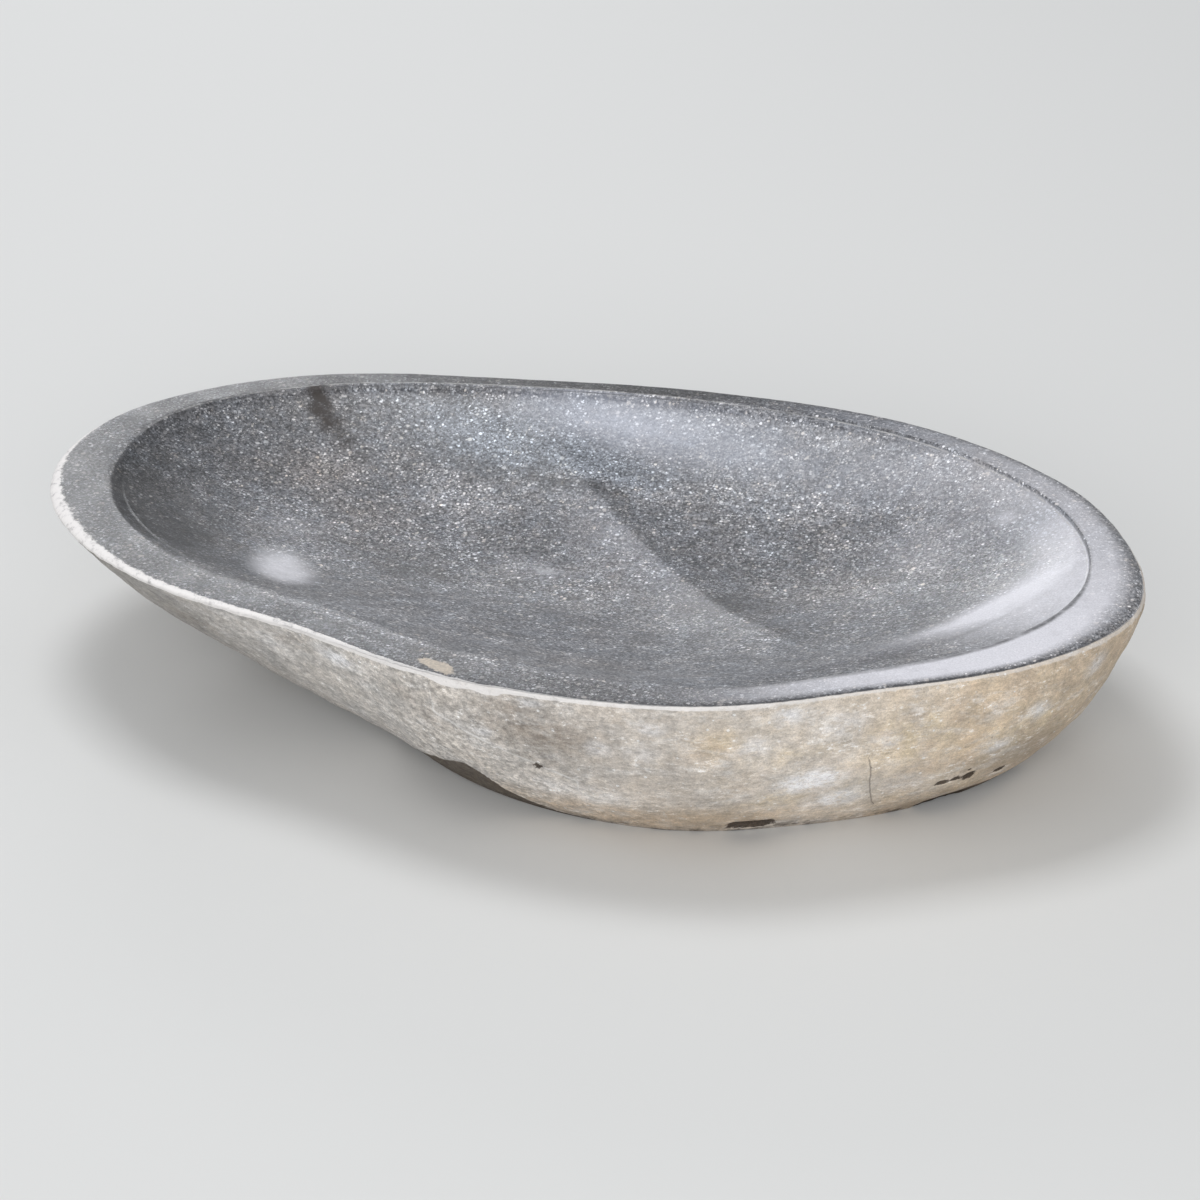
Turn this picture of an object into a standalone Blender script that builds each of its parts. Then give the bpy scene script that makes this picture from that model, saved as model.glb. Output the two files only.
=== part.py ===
"""A bird bath carved from one river boulder.

The boulder keeps its worn skin outside. Its underside is cut flat to stand on, its top is
ground flat as a rim, and a shallow bowl is ground into the top: two hollows that meet in a
soft ridge, inside a low stepped lip. It is one piece of stone, so it is one solid.

Lengths are in metres and +Z is up. The origin lies on the ground under the middle of the
stone, and +X points to its broad end. Each table of sixteen shares goes round the stone
anticlockwise, seen from above, and starts at +X.
"""
import math

import bmesh
import bpy
from mathutils import Vector

# The whole stone
STONE_LENGTH = 0.544
STONE_WIDTH = 0.354
STONE_HEIGHT = 0.090
OUTLINE_SHARES = (
    1.00, 1.00, 1.03, 1.04, 0.98, 0.95, 1.015, 1.035,
    1.025, 1.00, 0.96, 0.895, 0.97, 1.00, 0.945, 0.975)

# The worn wall, which tucks in under the rim down to the broken edge of the flat base
BASE_TUCK = 0.050
TUCK_SHARES = (
    1.05, 1.10, 1.10, 1.05, 1.05, 1.15, 1.55, 2.10,
    2.45, 2.62, 2.12, 1.40, 1.10, 0.98, 0.90, 1.04)
BULGE_SHARES = (
    0.44, 0.45, 0.50, 0.55, 0.60, 0.50, 0.40, 0.35,
    0.53, 0.46, 0.23, 0.36, 0.50, 0.60, 0.60, 0.70)
BULGE_POWER = 2.6
EDGE_HEIGHT = 0.005
EDGE_WIDTH = 0.007

# Swells that the river left in the skin: the number of waves round the stone, the turn that
# they start at, and their share of the height
SWELL_HEIGHT = 0.0015
SWELL_SHARES = ((5, 0.10, 0.60), (8, 0.35, 0.40), (13, 0.70, 0.25))

# The rim, ground flat, with a worn shoulder that rolls over its outer edge
RIM_WIDTH = 0.030
RIM_SHARES = (
    1.06, 0.73, 0.63, 0.51, 0.43, 0.36, 0.55, 0.63,
    0.97, 1.00, 0.93, 0.75, 0.80, 0.71, 0.70, 1.00)
SHOULDER_WIDTH = 0.010
SHOULDER_DROP = 0.005
SHOULDER_SHARES = (
    1.00, 0.90, 0.60, 0.50, 0.35, 0.25, 0.25, 0.30,
    0.55, 0.78, 0.42, 0.30, 0.25, 0.25, 0.45, 0.85)

# The lip: a riser, a ledge that falls towards the bowl, and a second riser
RISER_HEIGHT = 0.004
RISER_RUN = 0.004
RISER_SHARES = (
    0.70, 0.62, 0.55, 0.40, 0.25, 0.15, 0.15, 0.50,
    1.00, 1.00, 0.50, 0.15, 0.12, 0.25, 0.70, 0.85)
RISER_RUN_SHARES = (
    0.25, 0.25, 0.25, 0.25, 0.25, 0.25, 0.30, 0.50,
    0.75, 2.10, 1.80, 0.60, 0.40, 0.30, 0.25, 0.25)
LEDGE_WIDTH = 0.014
LEDGE_SHARES = (
    2.10, 0.30, 0.25, 0.25, 0.15, 0.12, 0.12, 0.12,
    0.12, 0.15, 0.30, 0.30, 0.30, 0.50, 1.30, 2.90)
LEDGE_FALL = 0.0025
FOOT_HEIGHT = 0.0045
FOOT_SHARES = (
    0.12, 0.12, 0.15, 0.30, 0.45, 0.50, 0.50, 0.40,
    0.25, 0.15, 0.10, 0.10, 0.10, 0.10, 0.10, 0.12)
FOOT_RUN = 0.001

# The bowl: its deepest point, as shares of half the length and half the width, and the
# powers by which its walls fall, from a straight cone at 1 to a flat floor with a steep wall
BOWL_DEPTH = 0.042
DEEPEST_SHARES = (0.105, 0.08)
WALL_POWERS = (
    1.9, 2.1, 2.3, 2.3, 2.3, 2.3, 2.4, 2.7,
    2.9, 2.4, 1.6, 1.4, 1.4, 1.5, 1.6, 1.8)
FLOOR_ROUND_SHARE = 0.30

# The soft ridge where the two hollows meet, from the back wall down to the floor.
# Its ends are shares of half the length and half the width.
RIDGE_START_SHARES = (-0.18, 0.62)
RIDGE_END_SHARES = (0.365, -0.12)
RIDGE_HEIGHT = 0.0045
RIDGE_WIDTH = 0.040
RIDGE_ROUND = 0.004

# How finely the stone is drawn
DIRECTIONS = 96
WALL_STEPS = 7
SHOULDER_STEPS = 3
BOWL_RING_SHARES = (0.94, 0.87, 0.78, 0.68, 0.57, 0.46, 0.35, 0.24, 0.13)

SKIN_COLOUR = (0.36, 0.33, 0.27, 1.0)
GROUND_COLOUR = (0.11, 0.115, 0.12, 1.0)


def clear_scene():
    for old in list(bpy.data.objects):
        bpy.data.objects.remove(old, do_unlink=True)


def stone_material(name, colour, roughness):
    material = bpy.data.materials.new(name)
    material.use_nodes = True
    shader = material.node_tree.nodes["Principled BSDF"]
    shader.inputs["Base Color"].default_value = colour
    shader.inputs["Roughness"].default_value = roughness
    shader.inputs["Metallic"].default_value = 0.0
    return material


def around(shares, turn):
    """The smooth value of a table of shares at a turn from 0 to 1 round the stone."""
    place = turn * len(shares)
    index = math.floor(place)
    along = place - index
    before, here, after, beyond = (shares[(index + step) % len(shares)] for step in (-1, 0, 1, 2))
    slope_here = (after - before) / 2
    slope_after = (beyond - here) / 2
    rise = after - here
    curve = 3 * rise - 2 * slope_here - slope_after
    end = slope_here + slope_after - 2 * rise
    return here + along * (slope_here + along * (curve + along * end))


def turns():
    return [index / DIRECTIONS for index in range(DIRECTIONS)]


def stone_outline():
    """The widest outline of the stone in plan, drawn out to its length and width."""
    drawn = []
    for turn in turns():
        angle = math.tau * turn
        share = around(OUTLINE_SHARES, turn)
        drawn.append(Vector((share * math.cos(angle), share * math.sin(angle))))
    low = Vector((min(point.x for point in drawn), min(point.y for point in drawn)))
    high = Vector((max(point.x for point in drawn), max(point.y for point in drawn)))
    middle = (low + high) / 2
    scale_x = STONE_LENGTH / (high.x - low.x)
    scale_y = STONE_WIDTH / (high.y - low.y)
    return [Vector(((point.x - middle.x) * scale_x, (point.y - middle.y) * scale_y)) for point in drawn]


def moved_in(outline, distances):
    """The outline with each point moved towards the middle by its own distance."""
    return [point - point.normalized() * distance for point, distance in zip(outline, distances)]


def sized(length, shares):
    """A length for each direction, from its table of shares."""
    return [length * around(shares, turn) for turn in turns()]


def ring(outline, heights):
    return [Vector((point.x, point.y, height)) for point, height in zip(outline, heights)]


def hang(turn, rise):
    """The share of the tuck at a rise from 0 to 1 up the wall.

    The wall is a straight slope where the bulge is 0, and round where it is 1.
    """
    straight = 1 - rise
    rounded = straight ** BULGE_POWER
    return straight + (rounded - straight) * around(BULGE_SHARES, turn)


def swell(turn, rise):
    """How far the skin stands in or out, which dies away at the rim and at the base."""
    waves = sum(share * math.sin(math.tau * (count * turn + start))
                for count, start, share in SWELL_SHARES)
    return SWELL_HEIGHT * waves * math.sin(math.pi * rise)


def wall_rings(outline):
    """Rings up the worn wall, from the flat base to the foot of the shoulder."""
    tucks = sized(BASE_TUCK, TUCK_SHARES)
    drops = sized(SHOULDER_DROP, SHOULDER_SHARES)
    edges = sized(EDGE_WIDTH, TUCK_SHARES)
    base = moved_in(outline, [tuck + edge for tuck, edge in zip(tucks, edges)])
    rings = [ring(base, [0] * DIRECTIONS)]
    for step in range(WALL_STEPS + 1):
        rise = step / WALL_STEPS
        insets = [tuck * hang(turn, rise) - swell(turn, rise) for tuck, turn in zip(tucks, turns())]
        heights = [EDGE_HEIGHT + rise * (STONE_HEIGHT - drop - EDGE_HEIGHT) for drop in drops]
        rings.append(ring(moved_in(outline, insets), heights))
    return rings


def shoulder_rings(outline):
    """Rings over the rounded outer edge of the rim, up to the flat."""
    widths = sized(SHOULDER_WIDTH, SHOULDER_SHARES)
    drops = sized(SHOULDER_DROP, SHOULDER_SHARES)
    rings = []
    for step in range(1, SHOULDER_STEPS + 1):
        angle = math.pi / 2 * step / SHOULDER_STEPS
        insets = [width * (1 - math.cos(angle)) for width in widths]
        heights = [STONE_HEIGHT - drop * (1 - math.sin(angle)) for drop in drops]
        rings.append(ring(moved_in(outline, insets), heights))
    return rings


def lip_rings(outline):
    """Rings from the inner edge of the rim down both risers to the edge of the bowl."""
    insets = sized(RIM_WIDTH, RIM_SHARES)
    depths = [0] * DIRECTIONS
    riser = (sized(RISER_RUN, RISER_RUN_SHARES), sized(RISER_HEIGHT, RISER_SHARES))
    ledge = (sized(LEDGE_WIDTH, LEDGE_SHARES), sized(LEDGE_FALL, LEDGE_SHARES))
    foot = ([FOOT_RUN] * DIRECTIONS, sized(FOOT_HEIGHT, FOOT_SHARES))
    rings = [ring(moved_in(outline, insets), [STONE_HEIGHT] * DIRECTIONS)]
    for runs, drops in (riser, ledge, foot):
        insets = [inset + run for inset, run in zip(insets, runs)]
        depths = [depth + drop for depth, drop in zip(depths, drops)]
        rings.append(ring(moved_in(outline, insets), [STONE_HEIGHT - depth for depth in depths]))
    return rings


def ridge(point):
    """The height of the soft ridge between the two hollows at a plan point."""
    half = Vector((STONE_LENGTH / 2, STONE_WIDTH / 2))
    start = Vector(RIDGE_START_SHARES) * half
    end = Vector(RIDGE_END_SHARES) * half
    run = end - start
    along = (point - start).dot(run) / run.length_squared
    aside = (point - start).cross(run) / run.length
    beyond = max(0, along - 1, -along) * run.length
    rounded = math.sqrt(aside ** 2 + beyond ** 2 + RIDGE_ROUND ** 2) - RIDGE_ROUND
    return RIDGE_HEIGHT * math.exp(-rounded / RIDGE_WIDTH)


def wall_depth(share, power):
    """How far down the bowl a point lies, from 0 at the lip to 1 at the deepest point."""
    here = (share ** 2 + FLOOR_ROUND_SHARE ** 2) ** (power / 2)
    lip = (1 + FLOOR_ROUND_SHARE ** 2) ** (power / 2)
    floor = FLOOR_ROUND_SHARE ** power
    return (lip - here) / (lip - floor)


def bowl_point(edge, share, power):
    """A point of the bowl on the line from its deepest point out to a point of its edge."""
    deepest = Vector((DEEPEST_SHARES[0] * STONE_LENGTH / 2, DEEPEST_SHARES[1] * STONE_WIDTH / 2))
    plan = deepest.lerp(edge.xy, share)
    floor = STONE_HEIGHT - BOWL_DEPTH
    height = edge.z + (floor - edge.z) * wall_depth(share, power)
    return Vector((plan.x, plan.y, height + ridge(plan) * (1 - share ** 4)))


def bowl_rings(edge_ring):
    powers = [around(WALL_POWERS, turn) for turn in turns()]
    return [[bowl_point(edge, share, power) for edge, power in zip(edge_ring, powers)]
            for share in BOWL_RING_SHARES]


def skin(mesh, lower, upper, slot):
    """A band of faces between two neighbouring rings."""
    for index in range(DIRECTIONS):
        following = (index + 1) % DIRECTIONS
        face = mesh.faces.new((lower[index], lower[following], upper[following], upper[index]))
        face.material_index = slot


def carved_stone():
    outline = stone_outline()
    outside = wall_rings(outline)
    inside = shoulder_rings(outline) + lip_rings(outline)
    inside += bowl_rings(inside[-1])
    deepest = bowl_point(inside[-1][0], 0, WALL_POWERS[0])

    mesh = bmesh.new()
    rings = [[mesh.verts.new(point) for point in points] for points in outside + inside]
    mesh.faces.new(reversed(rings[0]))
    for number, (lower, upper) in enumerate(zip(rings, rings[1:])):
        skin(mesh, lower, upper, int(number + 1 >= len(outside)))
    middle = mesh.verts.new(deepest)
    for index, vertex in enumerate(rings[-1]):
        face = mesh.faces.new((vertex, rings[-1][(index + 1) % DIRECTIONS], middle))
        face.material_index = 1
    return mesh


def build_basin():
    shape = bpy.data.meshes.new("basin")
    mesh = carved_stone()
    mesh.to_mesh(shape)
    mesh.free()
    shape.materials.append(stone_material("river_skin", SKIN_COLOUR, 0.85))
    shape.materials.append(stone_material("ground_stone", GROUND_COLOUR, 0.45))
    shape.shade_smooth()
    shape.set_sharp_from_angle(angle=math.radians(28))
    for edge in shape.edges:
        if all(shape.vertices[index].co.z == 0 for index in edge.vertices):
            edge.use_edge_sharp = True
    basin = bpy.data.objects.new("basin", shape)
    bpy.context.scene.collection.objects.link(basin)
    return basin


def main():
    clear_scene()
    build_basin()


main()
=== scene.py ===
"""Looks for a bird bath carved from one river boulder.

One closed mesh stands for the CAD solid. It repeats that solid's sizes and shares, is drawn
more finely, and adds the skin's swells, the nicked edge, the chips, the pits and the broken
lower edge. One procedural material covers it: worn skin outside with a crack and a vein, a
pale bruised edge round the rim, and honed speckled stone on the rim and in the bowl. Painted
sheen, a painted highlight and painted shade lie on the honed stone, and painted shade and
shadow on the skin. Vertex attributes say where each of these lies.

Lengths are in metres and +Z is up. Each table of sixteen numbers goes round the stone
anticlockwise, seen from above, and starts at +X.
"""
import math

import bpy
import numpy as np
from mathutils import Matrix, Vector, noise


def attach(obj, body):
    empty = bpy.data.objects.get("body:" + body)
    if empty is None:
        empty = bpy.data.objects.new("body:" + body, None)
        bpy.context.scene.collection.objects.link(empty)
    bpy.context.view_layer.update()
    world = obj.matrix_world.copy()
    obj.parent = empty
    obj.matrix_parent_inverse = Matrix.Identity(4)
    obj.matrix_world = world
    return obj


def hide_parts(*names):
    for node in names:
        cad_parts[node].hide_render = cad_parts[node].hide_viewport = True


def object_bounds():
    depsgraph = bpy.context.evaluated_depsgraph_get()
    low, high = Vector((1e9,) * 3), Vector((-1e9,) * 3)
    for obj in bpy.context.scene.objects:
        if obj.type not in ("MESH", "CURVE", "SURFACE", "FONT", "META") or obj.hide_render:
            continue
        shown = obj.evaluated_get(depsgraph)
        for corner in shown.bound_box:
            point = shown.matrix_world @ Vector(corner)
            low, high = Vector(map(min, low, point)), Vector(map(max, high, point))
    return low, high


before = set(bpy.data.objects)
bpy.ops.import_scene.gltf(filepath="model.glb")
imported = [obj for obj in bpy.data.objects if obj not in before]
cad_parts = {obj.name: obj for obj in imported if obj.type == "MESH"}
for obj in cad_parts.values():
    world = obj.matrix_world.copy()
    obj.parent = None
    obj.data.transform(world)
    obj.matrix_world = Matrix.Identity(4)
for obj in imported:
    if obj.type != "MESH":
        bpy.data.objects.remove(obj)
CAD_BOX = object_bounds()

MM = 0.001

# Sizes and shares of the CAD solid: first the whole stone
STONE_LENGTH = 0.544
STONE_WIDTH = 0.354
STONE_HEIGHT = 0.090
OUTLINE_SHARES = (
    1.00, 1.00, 1.03, 1.04, 0.98, 0.95, 1.015, 1.035,
    1.025, 1.00, 0.96, 0.895, 0.97, 1.00, 0.945, 0.975)
# The wall, which tucks in under the rim down to the edge of the flat base
BASE_TUCK = 0.050
TUCK_SHARES = (
    1.05, 1.10, 1.10, 1.05, 1.05, 1.15, 1.55, 2.10,
    2.45, 2.62, 2.12, 1.40, 1.10, 0.98, 0.90, 1.04)
BULGE_SHARES = (
    0.44, 0.45, 0.50, 0.55, 0.60, 0.50, 0.40, 0.35,
    0.53, 0.46, 0.23, 0.36, 0.50, 0.60, 0.60, 0.70)
BULGE_POWER = 2.6
EDGE_HEIGHT = 0.005
EDGE_WIDTH = 0.007
# Swells in the wall: the number of waves round the stone, the turn that they start at, and
# their share of the height
SWELL_HEIGHT = 0.0015
SWELL_SHARES = ((5, 0.10, 0.60), (8, 0.35, 0.40), (13, 0.70, 0.25))
# The rim, with a worn shoulder that rolls over its outer edge
RIM_WIDTH = 0.030
RIM_SHARES = (
    1.06, 0.73, 0.63, 0.51, 0.43, 0.36, 0.55, 0.63,
    0.97, 1.00, 0.93, 0.75, 0.80, 0.71, 0.70, 1.00)
SHOULDER_WIDTH = 0.010
SHOULDER_DROP = 0.005
SHOULDER_SHARES = (
    1.00, 0.90, 0.60, 0.50, 0.35, 0.25, 0.25, 0.30,
    0.55, 0.78, 0.42, 0.30, 0.25, 0.25, 0.45, 0.85)
# The lip: a riser, a ledge that falls towards the bowl, and a second riser at its foot
RISER_HEIGHT = 0.004
RISER_RUN = 0.004
RISER_SHARES = (
    0.70, 0.62, 0.55, 0.40, 0.25, 0.15, 0.15, 0.50,
    1.00, 1.00, 0.50, 0.15, 0.12, 0.25, 0.70, 0.85)
RISER_RUN_SHARES = (
    0.25, 0.25, 0.25, 0.25, 0.25, 0.25, 0.30, 0.50,
    0.75, 2.10, 1.80, 0.60, 0.40, 0.30, 0.25, 0.25)
LEDGE_WIDTH = 0.014
LEDGE_SHARES = (
    2.10, 0.30, 0.25, 0.25, 0.15, 0.12, 0.12, 0.12,
    0.12, 0.15, 0.30, 0.30, 0.30, 0.50, 1.30, 2.90)
LEDGE_FALL = 0.0025
FOOT_HEIGHT = 0.0045
FOOT_SHARES = (
    0.12, 0.12, 0.15, 0.30, 0.45, 0.50, 0.50, 0.40,
    0.25, 0.15, 0.10, 0.10, 0.10, 0.10, 0.10, 0.12)
FOOT_RUN = 0.001
# The bowl, and the soft ridge across its floor
BOWL_DEPTH = 0.042
DEEPEST_SHARES = (0.105, 0.08)
WALL_POWERS = (
    1.9, 2.1, 2.3, 2.3, 2.3, 2.3, 2.4, 2.7,
    2.9, 2.4, 1.6, 1.4, 1.4, 1.5, 1.6, 1.8)
FLOOR_ROUND_SHARE = 0.30
RIDGE_START_SHARES = (-0.18, 0.62)
RIDGE_END_SHARES = (0.365, -0.12)
RIDGE_HEIGHT = 0.0045
RIDGE_WIDTH = 0.040
RIDGE_ROUND = 0.004
RIDGE_FADE_POWER = 4

# How finely this mesh is drawn: directions round the stone, rows across each part of it, and
# where the rows of the flat base lie between its middle and its edge
DIRECTIONS = 720
BASE_SHARES = (0.35, 0.70, 0.90, 0.97)
EDGE_ROWS = 5
WALL_ROWS = 42
SHOULDER_ROWS = 12
RIM_ROWS = 10
RISER_ROWS = 5
LEDGE_ROWS = 8
FOOT_ROWS = 3
BOWL_ROWS = 46
TURNS = np.arange(DIRECTIONS) / DIRECTIONS


def around(shares):
    """The smooth values of a table, one for each direction round the stone."""
    table = np.asarray(shares, float)
    place = TURNS * len(table)
    index = np.floor(place).astype(int)
    along = place - index
    before, here, after, beyond = (table[(index + step) % len(table)] for step in (-1, 0, 1, 2))
    slope_here = (after - before) / 2
    slope_after = (beyond - here) / 2
    rise = after - here
    curve = 3 * rise - 2 * slope_here - slope_after
    end = slope_here + slope_after - 2 * rise
    return here + along * (slope_here + along * (curve + along * end))


def smooth_step(start, end, value):
    """0 before the start, 1 past the end and eased between. The end may be the lower one."""
    share = np.clip((value - start) / (end - start), 0, 1)
    return share * share * (3 - 2 * share)


def bell(value, middle, width):
    return np.exp(-((value - middle) / width) ** 2)


# ---- shape ----

def stone_outline():
    """The widest outline in plan, as an array of points."""
    angles = math.tau * TURNS
    shares = around(OUTLINE_SHARES)
    drawn = np.stack([shares * np.cos(angles), shares * np.sin(angles)], axis=1)
    low, high = drawn.min(axis=0), drawn.max(axis=0)
    return (drawn - (low + high) / 2) * (STONE_LENGTH, STONE_WIDTH) / (high - low)


OUTLINE = stone_outline()
INWARD = -OUTLINE / np.linalg.norm(OUTLINE, axis=1, keepdims=True)


def row(insets, heights):
    """One row of points: the outline moved in by its insets, at its heights."""
    plan = OUTLINE + INWARD * np.broadcast_to(insets, DIRECTIONS)[:, None]
    return np.column_stack([plan, np.broadcast_to(heights, DIRECTIONS)])


def straight_rows(start, end, count):
    """Rows from one row to another, closer together near both ends."""
    shares = (1 - np.cos(np.pi * np.arange(1, count + 1) / count)) / 2
    return [start + (end - start) * share for share in shares]


def wall_rows():
    tucks = BASE_TUCK * around(TUCK_SHARES)
    tops = STONE_HEIGHT - SHOULDER_DROP * around(SHOULDER_SHARES)
    bulges = around(BULGE_SHARES)
    waves = sum(share * np.sin(math.tau * (count * TURNS + start))
                for count, start, share in SWELL_SHARES)
    rows = []
    for step in range(WALL_ROWS + 1):
        rise = step / WALL_ROWS
        straight = 1 - rise
        hang = straight + (straight ** BULGE_POWER - straight) * bulges
        swell = SWELL_HEIGHT * waves * math.sin(math.pi * rise)
        rows.append(row(tucks * hang - swell, EDGE_HEIGHT + rise * (tops - EDGE_HEIGHT)))
    return rows


def base_rows(first_wall_row):
    edge = row((BASE_TUCK + EDGE_WIDTH) * around(TUCK_SHARES), 0)
    middle = edge.mean(axis=0)
    inner = [middle + (edge - middle) * share for share in BASE_SHARES]
    return inner + [edge] + straight_rows(edge, first_wall_row, EDGE_ROWS)[:-1]


def shoulder_rows():
    widths = SHOULDER_WIDTH * around(SHOULDER_SHARES)
    drops = SHOULDER_DROP * around(SHOULDER_SHARES)
    rows = []
    for step in range(1, SHOULDER_ROWS + 1):
        angle = math.pi / 2 * step / SHOULDER_ROWS
        heights = STONE_HEIGHT - drops * (1 - math.sin(angle))
        rows.append(row(widths * (1 - math.cos(angle)), heights))
    return rows


def lip_rows(last_shoulder_row):
    """Rows across the rim and down the riser, the ledge and the foot."""
    insets = RIM_WIDTH * around(RIM_SHARES)
    depths = np.zeros(DIRECTIONS)
    rows = straight_rows(last_shoulder_row, row(insets, STONE_HEIGHT), RIM_ROWS)
    steps = (
        (RISER_RUN * around(RISER_RUN_SHARES), RISER_HEIGHT * around(RISER_SHARES), RISER_ROWS),
        (LEDGE_WIDTH * around(LEDGE_SHARES), LEDGE_FALL * around(LEDGE_SHARES), LEDGE_ROWS),
        (FOOT_RUN, FOOT_HEIGHT * around(FOOT_SHARES), FOOT_ROWS))
    for run, drop, count in steps:
        insets = insets + run
        depths = depths + drop
        rows += straight_rows(rows[-1], row(insets, STONE_HEIGHT - depths), count)
    return rows


def ridge_place(plan):
    """How far plan points are from the ridge's line, positive behind it, their share of the
    way along it, and its length."""
    half = np.array((STONE_LENGTH / 2, STONE_WIDTH / 2))
    start = np.array(RIDGE_START_SHARES) * half
    run = np.array(RIDGE_END_SHARES) * half - start
    length = np.linalg.norm(run)
    offset = plan - start
    behind = (offset[..., 1] * run[0] - offset[..., 0] * run[1]) / length
    return behind, offset @ run / length ** 2, length


def ridge(plan):
    """The height of the soft ridge between the two hollows at plan points."""
    behind, along, length = ridge_place(plan)
    beyond = np.maximum(np.maximum(along - 1, -along), 0) * length
    rounded = np.sqrt(behind ** 2 + beyond ** 2 + RIDGE_ROUND ** 2) - RIDGE_ROUND
    return RIDGE_HEIGHT * np.exp(-rounded / RIDGE_WIDTH)


def bowl_rows(edge):
    deepest = np.array(DEEPEST_SHARES) * (STONE_LENGTH / 2, STONE_WIDTH / 2)
    floor = STONE_HEIGHT - BOWL_DEPTH
    powers = around(WALL_POWERS)
    lip = (1 + FLOOR_ROUND_SHARE ** 2) ** (powers / 2)
    flat = FLOOR_ROUND_SHARE ** powers
    rows = []
    for step in range(1, BOWL_ROWS + 1):
        share = 1 - step / BOWL_ROWS
        depth = (lip - (share ** 2 + FLOOR_ROUND_SHARE ** 2) ** (powers / 2)) / (lip - flat)
        plan = deepest + (edge[:, :2] - deepest) * share
        heights = edge[:, 2] + (floor - edge[:, 2]) * depth
        heights = heights + ridge(plan) * (1 - share ** RIDGE_FADE_POWER)
        rows.append(np.column_stack([plan, heights]))
    return rows


def all_rows():
    """All the rows, the deepest point, and the numbers of the rows that begin each part."""
    wall = wall_rows()
    base = base_rows(wall[0])
    shoulder = shoulder_rows()
    lip = lip_rows(shoulder[-1])
    bowl = bowl_rows(lip[-1])
    rows = np.array(base + wall + shoulder + lip + bowl[:-1])
    arris = len(base) + len(wall) - 1
    rim = arris + len(shoulder)
    marks = {"wall_foot": len(base), "arris": arris, "rim": rim,
             "lip": rim + RIM_ROWS, "bowl": rim + len(lip)}
    return rows, bowl[-1][0], marks


def wear_round(rows, first, last, rounds, weights=1.0):
    """Wears the corners between two rows round, as much as the weights say."""
    weights = np.broadcast_to(weights, DIRECTIONS)[None, :, None]
    for _ in range(rounds):
        middle = (rows[first - 1:last - 1] + rows[first + 1:last + 1]) / 2
        rows[first:last] += (middle - rows[first:last]) / 2 * weights


def normals_of(rows):
    along = np.roll(rows, -1, axis=1) - np.roll(rows, 1, axis=1)
    across = np.gradient(rows, axis=0)
    normals = np.cross(along, across)
    return normals / np.maximum(np.linalg.norm(normals, axis=2, keepdims=True), 1e-12)


def fractal(points, size, seed, octaves=4):
    """Smooth noise from about -1 to 1 at each point, with features of the given size."""
    shift = Vector((seed * 7.3, seed * 3.1, seed * 5.7))
    values = [noise.fractal(Vector(point) / size + shift, 0.9, 2.1, octaves)
              for point in points.reshape(-1, 3)]
    return np.array(values).reshape(points.shape[:-1])


def closeness(points, centre_mm, radius_mm):
    """1 at a spot, falling smoothly to 0 at its radius. The radius may differ in x, y and z."""
    gap = (points - np.array(centre_mm) * MM) / (np.array(radius_mm) * MM)
    return np.clip(1 - (gap ** 2).sum(axis=-1), 0, None) ** 2


# How far the lip and the crease are worn round into one curve, in sixteen directions
NEAR_LIP = (0, 0, 0, 0, 0, 0, 0, 0.05, 0.20, 0, 0.45, 1, 1, 0.45, 0, 0)
CREASE_LIP = (0.8, 0.3, 0.1, 0, 0, 0, 0, 0, 0, 0, 0, 0, 0.3, 0.7, 1, 1)

# Unevenness: its height in mm, its size in metres, and its noise's seed and octaves
SKIN_SWELLS = ((0.55, 0.035, 1, 4), (0.30, 0.009, 2, 4))
GROUND_WAVER = ((0.10, 0.030, 3, 2),)
EDGE_NICKS = ((0.35, 0.012, 4, 4), (0.15, 0.004, 5, 4))

# Chips and pits: the spot and its radius in x, y and z, and its depth, all in mm
EDGE_CHIPS = (
    ((12, -176, 87), (13, 5, 4), 1.3),
    ((-3, -175, 88), (6, 4, 3), 0.8))
PITS = (
    ((34.2, -159, 42.4), (3.2, 3.5, 3.0), 1.4),
    ((211.6, -65.6, 24.0), (4.2, 4.2, 4.2), 1.5),
    ((206.4, -70.4, 24.8), (3.4, 3.4, 2.0), 0.6),
    ((201.2, -74.5, 23.0), (4.0, 4.0, 2.4), 0.8),
    ((212.6, -69.0, 31.0), (2.2, 2.2, 1.6), 0.4),
    ((220.9, -48.5, 21.3), (3.5, 3.5, 3.0), 0.8),
    # The last six lie low on the base's edge; their dark paint is painted shadow of the underside
    ((119, -117, 5.0), (9, 9, 6), 1.8),
    ((128, -112, 5.5), (8, 8, 5.5), 1.5),
    ((195, -52, 2), (16, 16, 6), 1.4),
    ((-60, 118, 5), (14, 12, 6), 1.6),
    ((90, 122, 4), (12, 10, 5), 1.4),
    ((214, 20, 4), (8, 13, 5), 1.4))

# The broken lower edge on the near side, in mm: how deep it is broken, and x and the height of
# its upper side. Below that side the skin is also painted dark, as the underside's shadow.
BROKEN_DEPTH = 0.8
BROKEN_EDGE = (
    (-100, -6), (-70, 3), (-50, 12), (-36, 20), (-15, 28), (-7, 30), (-2, 27),
    (2, 23), (8, 16), (14, 11), (22, 8), (30, 4), (46, 1), (60, -6),
    (178, -6), (186, 4), (194, 8), (205, 9), (214, 8), (222, 3), (230, -6))


def broken_edge(rows):
    """How far each point is below the top of the broken edge, in mm."""
    xs, zs = zip(*BROKEN_EDGE)
    below = np.interp(rows[..., 0] / MM, xs, zs) - rows[..., 2] / MM
    return np.where(rows[..., 1] < 0, below, -20)


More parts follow.
